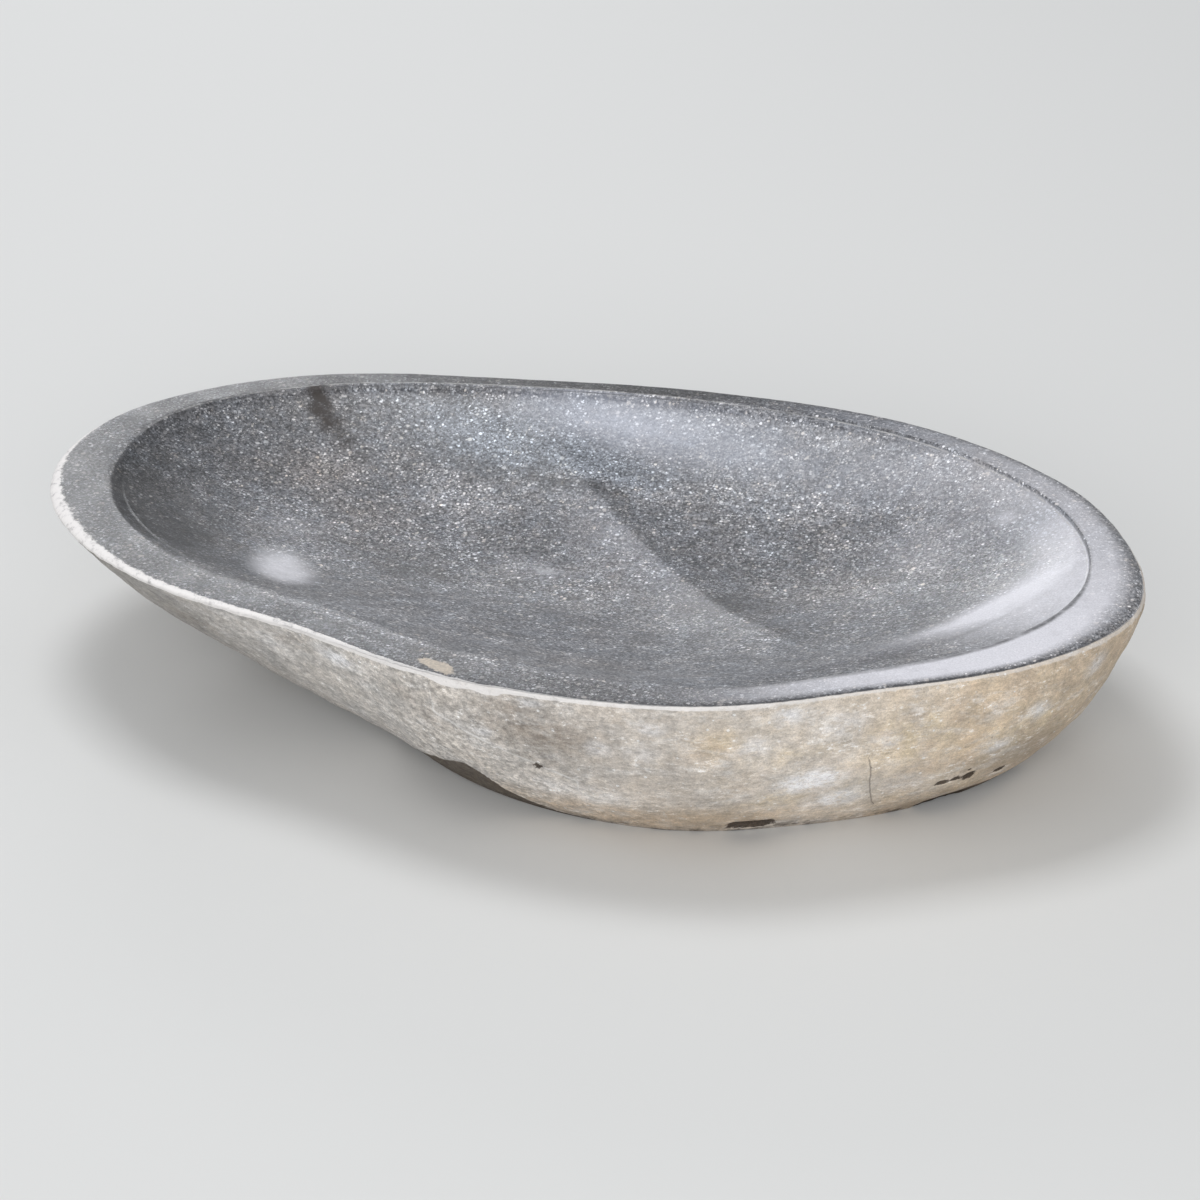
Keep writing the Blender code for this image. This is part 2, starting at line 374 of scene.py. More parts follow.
def wear_corners(rows, marks):
    """Wears the corners round at the base's edge, the arris, the rim, the lip and the crease."""
    wear_round(rows, marks["wall_foot"] - EDGE_ROWS + 1, marks["wall_foot"] + 4, 3)
    wear_round(rows, marks["arris"] - 6, marks["arris"] + 6, 4)
    wear_round(rows, marks["rim"] - 3, marks["rim"] + 4, 3)
    wear_round(rows, marks["lip"] - 3, marks["bowl"] + 4, 2)
    wear_round(rows, marks["lip"] - 6, marks["bowl"] + 10, 60, around(NEAR_LIP))
    wear_round(rows, marks["bowl"] - 8, marks["bowl"] + 8, 55, around(CREASE_LIP))


def uneven(rows, waves):
    """Layers of noise in mm, one for each wave."""
    return [height * fractal(rows, size, seed, octaves) for height, size, seed, octaves in waves]


def worn(rows, marks):
    """The rows with worn corners, swells, nicks, chips, pits and the broken lower edge."""
    wear_corners(rows, marks)
    normals = normals_of(rows)
    numbers = np.arange(len(rows))[:, None]
    on_skin = smooth_step(marks["wall_foot"] - 2, marks["wall_foot"] + 6, numbers)
    on_skin = on_skin * smooth_step(marks["rim"], marks["arris"] - 3, numbers)
    on_ground = smooth_step(marks["arris"], marks["rim"] + 3, numbers)
    on_edge = bell(numbers, marks["arris"], 4.0)
    nicks = sum(np.abs(layer) for layer in uneven(rows, EDGE_NICKS))
    broken = BROKEN_DEPTH + BROKEN_DEPTH * fractal(rows, 0.010, 7)
    broken = smooth_step(-1, 3, broken_edge(rows)) * broken
    move = sum(uneven(rows, SKIN_SWELLS)) * on_skin + sum(uneven(rows, GROUND_WAVER)) * on_ground
    move = move - nicks * on_edge - broken * on_skin
    ragged = 1 + 0.5 * fractal(rows, 0.005, 6, 3)
    for centre, radius, depth in EDGE_CHIPS + PITS:
        move = move - depth * ragged * closeness(rows, centre, radius) ** 0.5
    return rows + normals * move[..., None] * MM


def inside_box(rows):
    """The rows kept inside the CAD solid's box."""
    low, high = (np.array(corner) for corner in CAD_BOX)
    return np.clip(rows, low, high)


# ---- masks ----

def distances(rows, mark):
    """The way across the stone in mm from one row, positive inwards."""
    steps = np.linalg.norm(np.diff(rows, axis=0), axis=2) / MM
    way = np.vstack([np.zeros(DIRECTIONS), np.cumsum(steps, axis=0)])
    return way - way[mark]


# Tables for sixteen directions: how far in the skin reaches over the shoulder, in mm
SKIN_REACH = (3.2, 2.6, 2.4, 2.0, 1.0, 0.8, 0.6, 0.2, 0, 0, 0, 0.2, 0.8, 1.2, 2.2, 4.2)
# The pale bruised edge: its width inside and outside the skin's edge, in mm, and how pale it is
PALE_INSIDE = (0.5, 0.4, 0.6, 0.6, 0.6, 0.6, 0.6, 1.0, 5.0, 8.6, 4.6, 2.8, 1.0, 0.3, 0.2, 0.3)
PALE_OUTSIDE = (2.0, 1.2, 0.8, 0.8, 0.8, 0.8, 1.0, 1.5, 1.6, 1.4, 1.2, 1.6, 1.9, 1.5, 1.6, 2.2)
PALE_SHARE = (0.45, 0.50, 0.60, 0.80, 0.80, 0.80, 0.90, 1, 1, 1, 1, 1, 0.95, 0.85, 0.55, 0.45)
# The painted sheen, pale paint in place of reflections: on the rim, and where it is full there,
# in mm from the skin; on the shelf inside the riser; and below the crease, and its width there
# in mm
RIM_PAINTED_SHEEN = (0.77, 0.56, 0.40, 0.17, 0, 0, 0, 0, 0, 0, 0, 0, 0.02, 0.08, 0.74, 0.96)
PAINTED_SHEEN_EDGE = (17, 13, 8, 6, 6, 6, 6, 6, 6, 6, 6, 6, 6, 6, 6, 8)
SHELF_PAINTED_SHEEN = (0.72, 0.62, 0.34, 0.10, 0, 0, 0, 0, 0, 0, 0, 0, 0, 0, 0, 0.12)
BAND_PAINTED_SHEEN = (1.22, 0.54, 0.28, 0.08, 0, 0, 0, 0, 0, 0, 0, 0, 0, 0, 0, 0.24)
BAND_WIDTH = (15, 21, 28, 26, 20, 20, 20, 20, 20, 20, 20, 20, 20, 12, 8, 9)
# Painted shade: on the rim, down the wall of the bowl, and in a line along the riser, then that
# line's place in mm from the riser's top and its width
RIM_SHADE = (0, 0, 0.04, 0.24, 0.90, 0.98, 0.90, 0.80, 0.66, 0.62, 0.57, 0.58, 0.50, 0.36, 0.10, 0)
WALL_SHADE = (0, 0, 0, 0, 0, 0.05, 0.22, 0.50, 0.90, 1.00, 0.45, 0, 0, 0, 0, 0)
RISER_SHADE = (
    0.90, 0.55, 0.24, 0.26, 0.50, 0.50, 0.50, 0.50,
    0.45, 0.40, 0.15, 0, 0, 0.15, 0.55, 0.85)
RISER_PLACE = (-0.8, 1.5, 1.4, 1.2, 1.8, 2.2, 2.2, 2.0, 1.6, 1.4, 1.0, 1.0, 1.0, -0.4, -1.1, -1.3)
RISER_WIDTH = (2.1, 0.8, 0.6, 0.7, 1, 1, 1, 1, 1, 1, 1, 1, 1, 1.6, 2.4, 2.8)
# The sheen of the rim, of the wall of the bowl and of the crease
RIM_SHEEN = (
    1.0, 1.0, 0.92, 0.80, 0.55, 0.55, 0.68, 0.76,
    0.76, 0.76, 0.76, 0.78, 0.84, 0.92, 1.0, 1.0)
WALL_SHEEN = (1, 1, 1, 1, 1, 1, 1, 0.9, 0.7, 0.6, 0.8, 1, 1, 1, 1, 1)
CREASE_SHEEN = (1.2, 1, 1, 1, 1, 1, 1, 1, 1, 1, 1, 1, 1, 0.9, 0.3, 0.5)
# The pale worn line inside the riser, partly a painted highlight, and its place in mm from the
# riser's top
WORN_HIGHLIGHT_LINE = (0.30, 0.55, 0.90, 0.75, 0.50, 0.55, 0.55, 0.35, 0.15, 0.15, 0, 0, 0, 0, 0, 0)
WORN_HIGHLIGHT_PLACE = (1.6, 3.4, 2.6, 2.2, 0.3, 0, 0, 0, 0, 0, 0, 0, 0, 0, 0, 0)
# How dark the painted shade is in the crease and on the outer part of the shoulder, and how
# dark the seam under the rim is
CREASE_SHADE = (0.44, 0, 0, 0, 0, 0, 0, 0, 0, 0, 0, 0, 0, 0, 0, 0.55)
SHOULDER_SHADE = (0.12, 0.14, 0.12, 0.05, 0, 0, 0, 0, 0, 0, 0, 0, 0.05, 0.15, 0.12, 0.04)
SEAM_DARK = (0.10, 0, 0, 0, 0, 0, 0, 0, 0, 0, 0, 0.10, 0.40, 0.85, 1.0, 0.85)
# The skin: how light it is, how coarse its grain is, and how warm its colour is
SKIN_TONE = (
    1.00, 0.95, 0.95, 0.95, 0.95, 0.95, 0.92, 0.85,
    0.76, 0.68, 0.69, 1.07, 1.08, 1.03, 1.14, 1.07)
SKIN_COARSE = (0, 0, 0, 0.2, 0.4, 0.4, 0.4, 0.4, 0.4, 0.4, 0.4, 0.55, 0.75, 0.15, 0, 0)
SKIN_WARM = (
    1.75, 0.75, 0.40, 0.32, 0.30, 0.30, 0.25, 0.20,
    0.12, 0.08, 0.0, 0.0, 0.10, 0.30, 0.42, 1.20)
# The painted highlight in the bowl: its centre and radii in x and y, in mm, and how far it leans
HIGHLIGHT_CENTRE = (-134, -55)
HIGHLIGHT_RADII = (18, 37)
HIGHLIGHT_LEAN = 0.36


def masks(rows, marks):
    """The attributes that the material reads."""
    outer, inner, into = (distances(rows, marks[name]) for name in ("arris", "lip", "bowl"))
    outer = outer - around(SKIN_REACH)
    x, y, z = (rows[..., axis] / MM for axis in range(3))
    return {
        "outer": outer,
        "pale": bruised_edge(rows, outer),
        "pale_share": all_over(PALE_SHARE, rows),
        # The painted sheen: pale paint in place of reflections
        "painted_sheen": painted_sheen(rows, inner, into, outer),
        # Painted shade on the ground stone
        "painted_shade": darkness(rows, outer, inner, into),
        # The painted shade line along the riser: its place and strength
        "riser": (inner - around(RISER_PLACE)) / around(RISER_WIDTH),
        "riser_shade": all_over(RISER_SHADE, rows),
        # The pale worn line, partly a painted highlight
        "worn": inner - around(WORN_HIGHLIGHT_PLACE),
        "worn_highlight_line": all_over(WORN_HIGHLIGHT_LINE, rows),
        "seam": all_over(SEAM_DARK, rows),
        # How light the skin is, with painted shade low at the right end
        "tone_and_shade": tone_and_shade(rows),
        "warmth": warmth(rows),
        "coarse": all_over(SKIN_COARSE, rows),
        "sheen": sheen(inner, into),
        # Also where the painted shadow of the underside lies
        "broken": broken_edge(rows),
        "lift": 1 + spread(rows, LIFT_SPOTS) * (inner > 0),
        "hue": (spread(rows, COOL_SPOTS) - spread(rows, WARM_SPOTS)) * (inner > 0),
        # The painted highlight near the left end of the bowl
        "painted_highlight": painted_highlight(rows),
        # Where the painted sheen turns bluish, over the back half of the bowl
        "cold": smooth_step(40, 120, y) * smooth_step(170, 60, x),
        "ochre": np.clip(0.35 * smooth_step(60, 200, x) + spread(rows, OCHRE), 0, 1),
        # Painted shade towards the bottom of the skin
        "low": smooth_step(11, 1, z),
        "brown": spread(rows, BROWN),
        "bluish": spread(rows, BLUISH),
        "island": spread(rows, ISLAND),
        "stain": spread(rows, STAIN_SPOTS) * (inner > 0),
        "crack": line_gap(rows, CRACK),
        "vein": line_gap(rows, VEIN),
        "chipped": pitted(rows)}


def all_over(table, rows):
    """A table's values at every point."""
    return np.broadcast_to(around(table), rows.shape[:2])


def bruised_edge(rows, outer):
    """The distance from the skin's edge, where 1 is the width of the bruised edge."""
    outside = -outer / around(PALE_OUTSIDE) - 3 * spread(rows, BRUISED)
    return np.where(outer > 0, outer / around(PALE_INSIDE), outside)


def pitted(rows):
    """1 in the pits and 0 well outside them. Their dark paint is a little wider than they are; low
    on the base's edge it is painted shadow of the underside.
    """
    return spread(rows, [(centre, np.array(radius) * 1.3, 1.6) for centre, radius, _ in PITS])


def tone_and_shade(rows):
    """How light the skin is, with painted shade low at the right end."""
    lifted = all_over(SKIN_TONE, rows) * (1 + spread(rows, SKIN_LIFT))
    return lifted * (1 - spread(rows, SKIN_DIM))


def warmth(rows):
    """How warm the skin's colour is, from 0."""
    even = all_over(SKIN_WARM, rows)
    return np.maximum(even + spread(rows, SKIN_WARM_SPOTS) - spread(rows, SKIN_COOL_SPOTS), 0)


def sheen(inner, into):
    """The share of the ground stone's sheen."""
    wall = 1 - (1 - around(WALL_SHEEN)) * smooth_step(60, 10, inner)
    crease = 1 - (1 - around(CREASE_SHEEN)) * bell(into, 1.5, 6.0)
    return np.where(inner < 0.5, around(RIM_SHEEN), wall * crease)


def painted_highlight(rows):
    """The painted highlight near the left end of the bowl: a pale leaning oval."""
    x, y = rows[..., 0] / MM - HIGHLIGHT_CENTRE[0], rows[..., 1] / MM - HIGHLIGHT_CENTRE[1]
    away = np.hypot((x + HIGHLIGHT_LEAN * y) / HIGHLIGHT_RADII[0], y / HIGHLIGHT_RADII[1])
    return smooth_step(1.20, 0.35, away)


def painted_sheen(rows, inner, into, outer):
    """The painted sheen on the ground stone, from 0 to 1: pale paint in place of reflections on
    the rim, on the shelf, in the band below the crease and in spots, and painted light in front
    of the ridge. It is fainter in the crease, as painted shade."""
    edge = around(PAINTED_SHEEN_EDGE)
    on_rim = smooth_step(0.3, -0.6, inner) * smooth_step(0.12 * edge, edge, outer)
    on_rim = on_rim * around(RIM_PAINTED_SHEEN)
    on_shelf = smooth_step(0.0, 2.5, inner) * smooth_step(2, -4, into) * around(SHELF_PAINTED_SHEEN)
    band = smooth_step(-5, 2.0, into) * bell(np.maximum(into - 3, 0), 0, around(BAND_WIDTH))
    band = band * around(BAND_PAINTED_SHEEN)
    behind, along, _ = ridge_place(rows[..., :2])
    behind = behind / MM
    # Painted light in front of the ridge
    front = 0.12 * bell(behind, -3, 22) * smooth_step(2.0, -2.0, behind) * (into > 0)
    front = front * smooth_step(0.02, 0.25, along) * smooth_step(1.0, 0.65, along)
    spots = spread(rows, PAINTED_SHEEN_SPOTS) * (inner > 0)
    crease = bell(into, -2.6, 2.2) * around(CREASE_SHADE)
    return np.clip(on_rim + on_shelf + band + front + spots, 0, 1) * (1 - 0.7 * crease)


def darkness(rows, outer, inner, into):
    """The painted shade on the ground stone, from 0 to 1: in the hollow behind the ridge, on the
    rim, down the wall, in the crease and on the shoulder; and darker spots."""
    behind, along, _ = ridge_place(rows[..., :2])
    behind = behind / MM
    beside = smooth_step(0.02, 0.25, along) * smooth_step(1.40, 1.0, along)
    hollow = smooth_step(-2.0, 2.0, behind) * beside * (into > 0)
    hollow = hollow * (0.20 * bell(behind, 0, 34) + 0.20 * bell(behind, 3, 11))
    on_rim = smooth_step(0.5, -0.5, inner) * around(RIM_SHADE)
    wall = smooth_step(105, 6, inner) * (inner > 0) * around(WALL_SHADE)
    crease = bell(into, -2.6, 2.2) * around(CREASE_SHADE)
    shoulder = smooth_step(0.9, 0.1, outer / around(PAINTED_SHEEN_EDGE)) * around(SHOULDER_SHADE)
    spots = spread(rows, DARK_SPOTS) * (inner > 0)
    return np.clip(hollow + on_rim + wall + crease + shoulder + spots, 0, 1)


# Spots in mm: the centre, the radius in x, y and z, and the weight. First the skin's patches
BROWN = (
    ((38, -168, 68), (46, 20, 18), 1.05),
    ((58, -167, 62), (22, 14, 12), 0.2),
    ((26, -172, 82), (30, 12, 10), 0.7),
    ((-16, -162, 60), (20, 14, 12), 0.5),
    ((-92, -143, 79), (22, 14, 10), 0.5),
    ((-30, -162, 72), (18, 14, 10), 0.5),
    ((-150, -110, 70), (40, 24, 16), 0.5),
    ((235, -50, 30), (40, 40, 26), 0.6),
    ((90, 160, 50), (46, 24, 24), 0.8),
    ((-150, 90, 60), (46, 36, 24), 0.7))
BLUISH = (
    ((153, -123, 40), (26, 22, 12), 1.4),
    ((160, -106, 24), (22, 18, 12), 1.0),
    ((170, -130, 72), (22, 16, 12), 0.6),
    ((188, -112, 60), (7, 8, 6), 0.9),
    ((192, -94, 28), (24, 22, 12), 0.35),
    ((224, -70, 45), (14, 14, 8), 0.8),
    ((241, -60, 61), (11, 12, 9), 0.8),
    ((261, -34, 76), (10, 12, 10), 0.7),
    ((92, -168, 76), (12, 10, 6), 0.8),
    ((67, -165, 62), (10, 10, 8), 0.7),
    ((134, -150, 66), (14, 12, 9), 0.6),
    ((104, -140, 38), (22, 12, 7), 0.6),
    ((10, -164, 60), (9, 9, 6), 0.8),
    ((36, -177, 84), (12, 8, 4), 0.9),
    ((150, -144, 82), (16, 10, 8), 0.9),
    ((61, -149, 29), (24, 16, 11), 0.45),
    ((36, -148, 30), (24, 16, 12), 0.40),
    ((86, -164, 61), (12, 10, 8), 0.5),
    ((-66, -152, 78), (20, 12, 10), 1.0),
    ((-110, -138, 70), (18, 14, 12), 0.5),
    ((-40, 165, 60), (40, 20, 20), 0.8))
OCHRE = (
    ((121, -156, 68), (20, 14, 12), 0.8),
    ((137, -125, 28), (24, 16, 9), 0.9),
    ((148, -137, 59), (22, 14, 10), 0.5),
    ((200, -105, 60), (40, 26, 24), 0.8),
    ((238, -60, 50), (34, 34, 26), 0.9),
    ((150, 120, 50), (50, 40, 26), 0.7))
# The patch of tan skin left on the rim
ISLAND = (
    ((-17, -162, 90), (7, 7, 6), 1.1),
    ((-10, -165, 90), (10, 8, 6), 1.5),
    ((-4, -169, 90), (7, 6, 6), 0.9))
# In the bowl: the dark stain, the painted sheen in spots, darker places (partly painted shade),
# lighter places, cooler and warmer ones
STAIN_SPOTS = (
    ((-185, 110, 88), (8, 10, 8), 1.2),
    ((-180, 103, 82), (9, 11, 9), 1.9),
    ((-171, 96, 77), (10, 11, 9), 1.4),
    ((-160, 88, 73), (12, 10, 9), 0.7),
    ((-148, 79, 69), (14, 11, 9), 0.25))
PAINTED_SHEEN_SPOTS = (
    ((-45, 143, 83), (70, 30, 24), 0.34),
    ((10, 139, 77), (80, 34, 28), 0.26),
    ((100, 128, 76), (80, 34, 28), 0.12),
    ((144, 78, 70), (40, 36, 24), 0.16),
    ((206, 76, 83), (16, 26, 12), 0.12),
    ((180, 97, 80), (9, 9, 9), 0.25),
    ((-29, 24, 51), (9, 5, 9), 0.30),
    ((-35, 22, 51), (30, 18, 9), 0.08),
    ((-10, 60, 56), (40, 18, 12), 0.05),
    ((-155, 8, 62), (26, 20, 14), 0.10),
    ((-60, -110, 76), (120, 34, 24), 0.05))
# Darker places in the bowl, partly painted shade of the ridge and the hollows
DARK_SPOTS = (
    ((-54, 95, 65), (30, 8, 8), 0.50),
    ((-28, 96, 64), (28, 7, 8), 0.55),
    ((-90, -4, 55), (46, 32, 16), 0.52),
    ((70, -22, 56), (34, 30, 12), 0.28),
    ((-188, -50, 79), (28, 44, 18), 0.34),
    ((60, 6, 53), (28, 24, 12), 0.66),
    ((92, 139, 79), (26, 12, 12), 0.20),
    ((-85, 98, 67), (40, 14, 10), 0.16),
    ((-55, 50, 54), (42, 24, 12), 0.16),
    ((-100, 70, 62), (40, 30, 16), 0.12),
    ((28, 20, 51), (24, 4, 8), 0.30),
    ((58, -70, 63), (70, 14, 14), 0.10),
    ((100, -96, 73), (60, 12, 14), 0.16),
    ((-190, 90, 80), (40, 30, 20), 0.15),
    ((0, -120, 80), (120, 24, 20), 0.06))
LIFT_SPOTS = (
    ((-100, 118, 77), (52, 24, 16), 0.20),
    ((-75, 108, 72), (60, 22, 14), 0.16),
    ((-85, 66, 60), (45, 28, 14), 0.22),
    ((-12, 37, 52), (24, 20, 12), 0.24),
    ((3, 100, 64), (36, 26, 14), 0.26),
    ((76, 108, 65), (48, 28, 14), 0.42),
    ((50, 158, 86), (50, 14, 12), 0.22),
    ((150, 136, 86), (46, 26, 14), 0.36),
    ((-104, 72, 62), (34, 26, 16), 0.30),
    ((180, 116, 88), (30, 24, 10), 0.20),
    ((150, 70, 68), (46, 40, 22), 0.16),
    ((45, 150, 86), (50, 16, 10), 0.14),
    ((-30, -68, 66), (32, 24, 14), 0.18))
COOL_SPOTS = (
    ((-88, 114, 75), (64, 34, 20), 1.0),
    ((-30, 112, 70), (50, 24, 16), 0.7),
    ((60, 50, 54), (60, 40, 14), 0.2),
    ((205, 90, 84), (30, 40, 16), 0.6))
WARM_SPOTS = (
    ((-165, 62, 69), (36, 30, 16), 0.8),
    ((-125, 40, 60), (40, 24, 14), 0.5),
    ((40, -110, 78), (60, 30, 16), 0.4),
    ((110, 40, 58), (50, 30, 14), 0.3))
# On the skin: lighter and dimmer places, warmer and cooler ones, and a broader bruised edge
SKIN_LIFT = (
    ((120, -150, 64), (40, 30, 20), 0.10),
    ((170, -115, 45), (30, 28, 24), 0.16),
    ((-8, -160, 58), (26, 20, 16), 0.08),
    ((140, -138, 60), (30, 26, 16), 0.10),
    ((153, -124, 40), (24, 22, 14), 0.16),
    ((107, -155, 55), (22, 18, 16), 0.08),
    ((60, -145, 28), (60, 26, 16), 0.22),
    ((150, -110, 22), (44, 34, 14), 0.12))
SKIN_DIM = (
    ((42, -164, 54), (36, 20, 18), 0.28),
    ((116, -158, 68), (18, 14, 12), 0.06),
    ((8, -172, 78), (16, 12, 10), 0.10),
    ((236, -50, 40), (44, 50, 34), 0.10),
    # Painted shade low at the right end, near the base
    ((200, -66, 8), (40, 46, 12), 0.30),
    ((252, -20, 60), (24, 40, 40), 0.06))
SKIN_WARM_SPOTS = (
    ((100, -128, 12), (90, 44, 20), 0.75),
    ((118, -154, 66), (30, 20, 16), 0.45),
    ((30, -128, 14), (50, 30, 18), 0.45))
SKIN_COOL_SPOTS = (
    ((206, -72, 26), (34, 30, 18), 0.55),
    ((176, -100, 28), (30, 28, 18), 0.25))
BRUISED = (
    ((-2, -175, 86), (14, 8, 6), 1.0),
    ((16, -176, 85), (14, 8, 5), 0.9),
    ((44, -177, 84), (10, 8, 4), 0.5),
    ((-262, 10, 84), (10, 30, 10), 0.4))
# Lines on the skin in mm: points in x and z
CRACK = ((178.0, 50), (176.8, 38), (175.0, 30), (172.6, 14))
VEIN = ((-13.6, 66), (7.4, 55), (30.7, 46), (52, 38))


def spread(rows, spots):
    """The sum of soft spots, up to 1."""
    total = sum(weight * closeness(rows, centre, radius) for centre, radius, weight in spots)
    return np.clip(total, 0, 1)


def line_gap(rows, line):
    """The distance in mm from a line drawn on the near side of the skin, below 0 to its left."""
    xs, zs = zip(*sorted(line, key=lambda point: point[1]))
    x, y, z = (rows[..., axis] / MM for axis in range(3))
    gap = x - np.interp(z, zs, xs)
    beyond = np.maximum(np.maximum(z - zs[-1], zs[0] - z), 0)
    return np.where(y < 0, gap + np.copysign(beyond, gap), 1000)


# ---- mesh ----

def stone_mesh(name, rows, deepest, attributes):
    """A closed mesh of the rows, with a fan at each end and an attribute for each mask."""
    count = len(rows)
    base_middle = rows[0].mean(axis=0)
    points = np.vstack([rows.reshape(-1, 3), deepest, base_middle])
    grid = np.arange(count * DIRECTIONS).reshape(count, DIRECTIONS)
    following = np.roll(grid, -1, axis=1)
    quads = np.stack([grid[:-1], following[:-1], following[1:], grid[1:]], axis=-1).reshape(-1, 4)
    top, bottom = count * DIRECTIONS, count * DIRECTIONS + 1
    fan_top = [(a, b, top) for a, b in zip(grid[-1], following[-1])]
    fan_bottom = [(b, a, bottom) for a, b in zip(grid[0], following[0])]
    mesh = bpy.data.meshes.new(name)
    faces = quads.tolist() + [tuple(map(int, face)) for face in fan_top + fan_bottom]
    mesh.from_pydata(points.tolist(), [], faces)
    for label, values in attributes.items():
        layer = mesh.attributes.new(label, "FLOAT", "POINT")
        ends = (values[-1].mean(), values[0].mean())
        layer.data.foreach_set("value", np.append(values.reshape(-1), ends).astype(np.float32))
    mesh.shade_smooth()
    mesh.validate()
    return mesh


# ---- material nodes ----

class Nodes:
    """Short names for the nodes of one material."""

    def __init__(self, name):
        self.material = bpy.data.materials.new(name)
        self.material.use_nodes = True
        self.tree = self.material.node_tree
        self.shader = self.tree.nodes["Principled BSDF"]
        self.place = self.tree.nodes.new("ShaderNodeTexCoord").outputs["Object"]

    def node(self, kind, settings=(), **inputs):
        made = self.tree.nodes.new(kind)
        for label, value in dict(settings).items():
            setattr(made, label, value)
        for label, value in inputs.items():
            self.put(made.inputs[label.replace("_", " ")], value)
        return made

    def put(self, socket, value):
        """Links another node's output to the socket, or sets a plain value there."""
        if isinstance(value, bpy.types.NodeSocket):
            self.tree.links.new(value, socket)
        else:
            socket.default_value = value

    def mask(self, name):
        """A vertex attribute of the mesh."""
        return self.node("ShaderNodeAttribute", {"attribute_name": name}).outputs["Fac"]

    def maths(self, operation, first, second=0.0, third=0.0):
        made = self.node("ShaderNodeMath", {"operation": operation})
        for socket, value in zip(made.inputs, (first, second, third)):
            self.put(socket, value)
        return made.outputs[0]

    def times(self, first, *others):
        """The product of some numbers."""
        for other in others:
            first = self.maths("MULTIPLY", first, other)
        return first

    def ramp(self, value, low, high, to_low=0.0, to_high=1.0):
        """The value eased from one range to another."""
        made = self.node("ShaderNodeMapRange", {"interpolation_type": "SMOOTHSTEP"}, Value=value)
        labels = ("From Min", "From Max", "To Min", "To Max")
        for label, number in zip(labels, (low, high, to_low, to_high)):
            self.put(made.inputs[label], number)
        return made.outputs["Result"]

    def mottle(self, size_mm, detail=3.0, rough=0.55, stretch=None, distortion=0.0):
        """Noise from 0 to 1 with features of about this size."""
        place = self.place
        if stretch:
            place = self.node("ShaderNodeMapping", Vector=place, Scale=stretch).outputs["Vector"]
        made = self.node("ShaderNodeTexNoise", Vector=place, Scale=1 / (size_mm * MM),
                         Detail=detail, Roughness=rough, Distortion=distortion)
        return made.outputs["Fac"]

    def line(self, gap, half_width, soft, wobble):
        """A thin line where a distance in mm is 0: 1 along it and 0 away from it."""
        away = self.maths("ABSOLUTE", self.maths("ADD", gap, wobble))
        return self.ramp(away, half_width + soft, max(half_width - soft, 0.0))

    def wobble(self, size_mm, reach, detail=5.0, rough=0.65):
        """Noise about 0, to make a line or a patch uneven."""
        swing = self.maths("SUBTRACT", self.mottle(size_mm, detail, rough), 0.5)
        return self.times(swing, reach)

    def grains(self, place, size_mm, chosen, radius, seed):
        """Grains: how far a point is inside one, from 0 to 1, and the grain's random number."""
        moved = self.node("ShaderNodeMapping", Vector=place,
                          Location=(seed, seed * 0.7, seed * 1.3))
        made = self.node("ShaderNodeTexVoronoi", Vector=moved.outputs["Vector"],
                         Scale=1 / (size_mm * MM))
        split = self.node("ShaderNodeSeparateColor", Color=made.outputs["Color"])
        picked = self.ramp(split.outputs["Red"], 1 - chosen - 0.03, 1 - chosen + 0.03)
        size = self.ramp(split.outputs["Green"], 0.0, 1.0, radius * 0.45, radius)
        inside = self.ramp(self.maths("DIVIDE", made.outputs["Distance"], size), 1.0, 0.6)
        return self.times(inside, picked), split.outputs["Blue"]

    def mix(self, share, first, second, blend="MIX"):
        """The first colour where the share is 0 and the second where it is 1."""
        settings = {"data_type": "RGBA", "blend_type": blend, "clamp_factor": True}
        made = self.node("ShaderNodeMix", settings)
        self.put(made.inputs[0], share)
        for socket, value in ((made.inputs[6], first), (made.inputs[7], second)):
            self.put(socket, value if isinstance(value, bpy.types.NodeSocket) else (*value, 1.0))
        return made.outputs[2]

    def shade(self, colour, amount):
        """The colour made lighter or darker by a factor."""
        scaled = self.node("ShaderNodeVectorMath", {"operation": "SCALE"}, Scale=amount)
        self.put(scaled.inputs[0], colour)
        return scaled.outputs[0]

    def clouded(self, colour, clouds):
        """The colour lighter and darker in clouds of some sizes."""
        for look, reach in clouds:
            colour = self.shade(colour, self.ramp(self.mottle(*look), *reach))
        return colour


# Linear colours of the honed stone, its specks, its painted sheen and highlight, the painted
# shade line along the riser, the pale worn line with a painted highlight, and its stain
DARK_GROUND = (0.050, 0.051, 0.057)
MID_GROUND = (0.265, 0.267, 0.282)
SHADE_LINE = (0.070, 0.070, 0.075)
PALE_SPECK = (0.80, 0.80, 0.82)
WARM_SPECK = (0.74, 0.69, 0.64)
PALE_SHEEN = (0.87, 0.86, 0.92)
BLUE_SHEEN = (0.66, 0.70, 0.83)
HIGHLIGHT_COLOUR = (0.94, 0.93, 0.98)
WORN_AND_HIGHLIGHT = (0.50, 0.49, 0.48)
STAIN = (0.062, 0.054, 0.050)
# The skin's colours. SKIN_WARMING and the tints are what a colour is multiplied by
SKIN_GREY = (0.535, 0.515, 0.497)
SKIN_BEIGE = (0.650, 0.606, 0.560)
SKIN_WARMING = (1.04, 0.88, 0.70)
SKIN_OCHRE = (0.66, 0.55, 0.39)
SKIN_BROWN = (0.300, 0.255, 0.215)
SKIN_WHITE = (0.88, 0.87, 0.865)
SKIN_BLUISH = (0.83, 0.825, 0.845)
TAN = (0.547, 0.468, 0.377)
# Dark brown: the crack, the pits, the painted shade low down; then the underside's painted shadow
DIRT_AND_SHADE = (0.052, 0.038, 0.029)
UNDERSIDE_SHADOW = (0.090, 0.072, 0.055)
BRUISE = (0.90, 0.870, 0.855)
WARM_TINT = (1.07, 1.0, 0.94)
COOL_TINT = (0.93, 1.0, 1.08)

